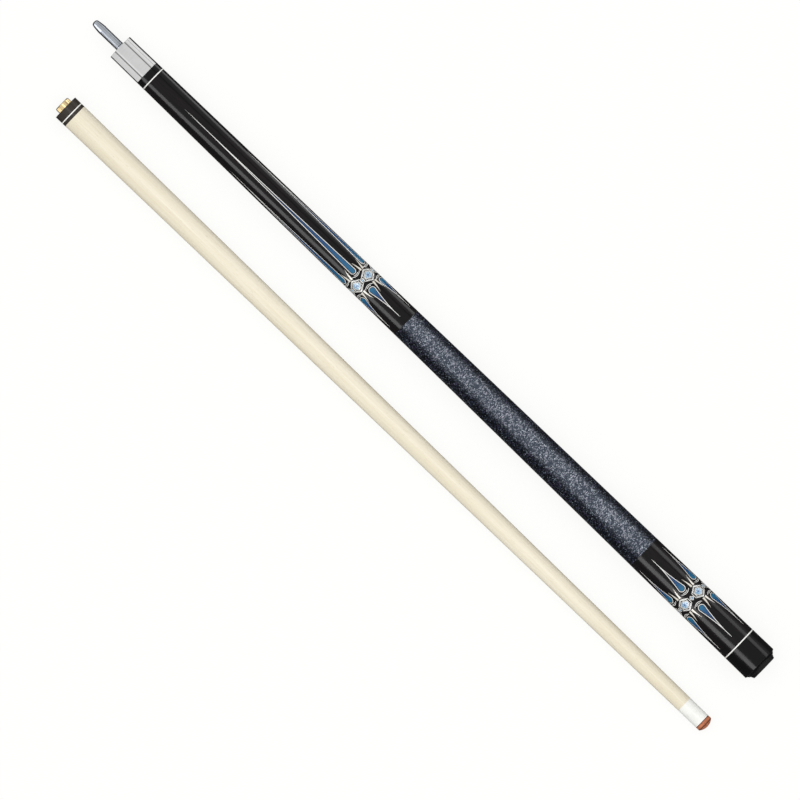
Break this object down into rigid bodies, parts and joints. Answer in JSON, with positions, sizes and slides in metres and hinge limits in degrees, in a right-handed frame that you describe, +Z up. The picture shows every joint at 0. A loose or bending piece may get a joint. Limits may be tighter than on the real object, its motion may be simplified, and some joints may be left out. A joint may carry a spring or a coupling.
{
  "type": "pool cue",
  "caption": "Two-piece pool cue lying unscrewed: tapered black inlaid butt with steel joint and linen wrap, and a maple shaft with brass insert, white ferrule and leather tip.",
  "frame": {"origin": "centre of the rectangle that the two halves cover, at the level they lie on", "axes": "+X from the joint ends towards the bumper and the leather tip, +Z up, butt on the +Y side"},
  "size_m": [0.7544, 0.0935, 0.0325],
  "materials": {
    "pin_steel": "polished steel pin",
    "collar_steel": "polished stainless steel",
    "bolt_steel": "plain turned steel",
    "brass": "turned brass",
    "black_resin": "polished black resin",
    "white_resin": "polished white resin",
    "black_lacquer": "black stain under gloss lacquer",
    "white_veneer": "white veneer under gloss lacquer",
    "blue_core": "blue dyed veneer, navy at the tip",
    "decor_ring": "black, white and pale blue pattern under lacquer",
    "linen": "black linen with blue, violet and white specks",
    "bumper_rubber": "matte black rubber",
    "maple": "clear satin maple",
    "ferrule_white": "satin white ferrule",
    "tip_leather": "pressed tan leather, burnished dark at its edge"
  },
  "bodies": {
    "butt": {"joint_pin": "pin_steel", "joint_collar": "collar_steel", "collar_ring": "black_resin", "forearm_ring": "white_resin", "forearm": "black_lacquer", "point_veneers": "white_veneer", "point_cores": "blue_core", "core_bolt": "bolt_steel", "upper_decor_ring": "decor_ring", "handle": "black_lacquer", "nose_spear_veneers": "white_veneer", "nose_spear_cores": "blue_core", "linen_wrap": "linen", "sleeve_front": "black_lacquer", "front_spear_veneers": "white_veneer", "front_spear_cores": "blue_core", "lower_decor_ring": "decor_ring", "sleeve_rear": "black_lacquer", "rear_spear_veneers": "white_veneer", "rear_spear_cores": "blue_core", "cap_ring": "white_resin", "butt_cap": "black_resin"},
    "weight_bolt": {"weight_bolt": "bolt_steel"},
    "tip": {"leather_tip": "tip_leather"},
    "shaft": {"brass_insert": "brass", "shaft_collar": "black_resin", "shaft_white_ring": "white_resin", "shaft_black_ring": "black_resin", "shaft_wood": "maple", "ferrule": "ferrule_white"},
    "bumper": {"bumper": "bumper_rubber"}
  },
  "joints": [
    {"name": "shaft_draw", "type": "slide", "parent": "butt", "child": "weight_bolt", "axis": [1, 0, 0.0069], "range_m": [0, 0.03595]},
    {"name": "shaft_swing", "type": "hinge", "parent": "weight_bolt", "child": "tip", "pos_m": [-0.36473, -0.0025, 0.01112], "axis": [0.0005, -0.0035, -1], "range_deg": [0, 180]},
    {"name": "shaft_spin", "type": "hinge", "parent": "tip", "child": "shaft", "pos_m": [-0.34568, -0.0355, 0.01125], "axis": [-1, 0, 0.0059], "range_deg": [0, 9172]},
    {"name": "bumper_pull", "type": "slide", "parent": "butt", "child": "bumper", "axis": [1, 0, 0.0069], "range_m": [0, 0.019]}
  ],
  "couplings": [
    {"joint": "shaft_spin", "follows": "shaft_draw", "rad_per_m": 4452.7}
  ]
}
